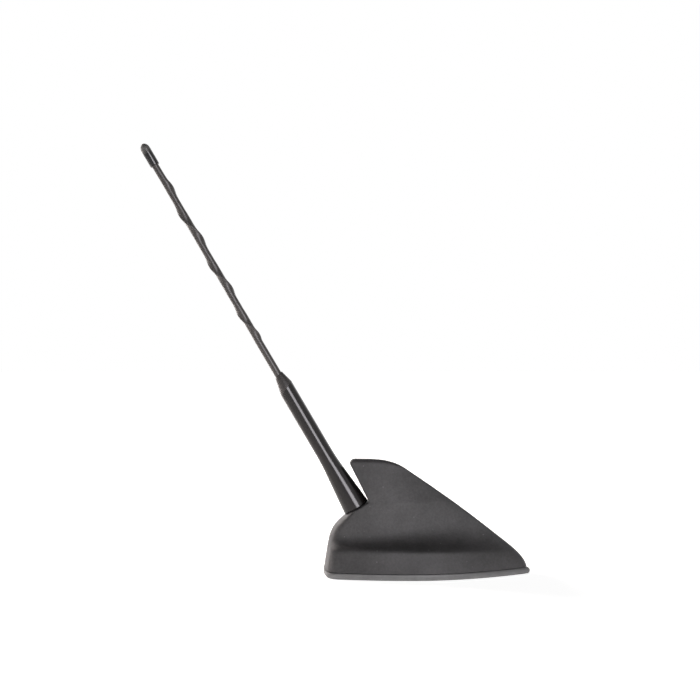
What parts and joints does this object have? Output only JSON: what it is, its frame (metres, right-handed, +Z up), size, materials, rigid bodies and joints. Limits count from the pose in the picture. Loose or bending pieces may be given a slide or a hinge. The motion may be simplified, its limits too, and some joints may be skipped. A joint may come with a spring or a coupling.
{
  "type": "car roof aerial",
  "caption": "Roof aerial for a car: a hollow fin-shaped housing on a rubber seal, with a leaning whip mast that screws into a seat behind the fin.",
  "frame": {"origin": "mouth of the fixing thread, in the plane of the seal's underside on the roof", "axes": "+X to the nose, +Y to the left side of the car, +Z up from the roof"},
  "size_m": [0.2595, 0.0616, 0.286],
  "materials": {
    "housing_plastic": "fine-textured satin",
    "seal_rubber": "matt",
    "cast_plate": "as cast",
    "bush_brass": "turned",
    "grommet_rubber": "matt",
    "screw_steel": "zinc plated",
    "board_laminate": "satin lacquer",
    "can_steel": "tinned",
    "patch_ceramic": "fired ceramic",
    "antenna_laminate": "satin lacquer",
    "spring_bronze": "bright",
    "washer_rubber": "matt",
    "stud_steel": "turned",
    "gloss_black": "gloss",
    "glass_fibre": "satin",
    "winding_copper": "enamelled",
    "whip_plastic": "satin"
  },
  "bodies": {
    "base": {"fin_housing": "housing_plastic", "roof_seal": "seal_rubber", "base_plate": "cast_plate", "fixing_bush": "bush_brass", "cable_grommet": "grommet_rubber", "housing_screws": "screw_steel", "circuit_board": "board_laminate", "board_screws": "screw_steel", "shield_can": "can_steel", "patch_antenna": "patch_ceramic", "phone_antenna": "antenna_laminate", "contact_spring": "spring_bronze", "mast_socket": "bush_brass"},
    "washer": {"mast_washer": "washer_rubber"},
    "mast": {"mast_stud": "stud_steel", "ferrule": "gloss_black", "whip_core": "glass_fibre", "whip_winding": "winding_copper", "whip_sheath": "whip_plastic", "tip_cap": "gloss_black"}
  },
  "joints": [
    {"name": "mast_lift", "type": "slide", "parent": "base", "child": "washer", "axis": [-0.5075, 0, 0.8616], "range_m": [0, 0.008]},
    {"name": "mast_turn", "type": "hinge", "parent": "washer", "child": "mast", "pos_m": [-0.0466, 0, 0.0434], "axis": [-0.5075, 0, 0.8616], "range_deg": [0, 3600]}
  ],
  "couplings": [
    {"joint": "mast_lift", "follows": "mast_turn", "m_per_rad": 0.00012732}
  ]
}
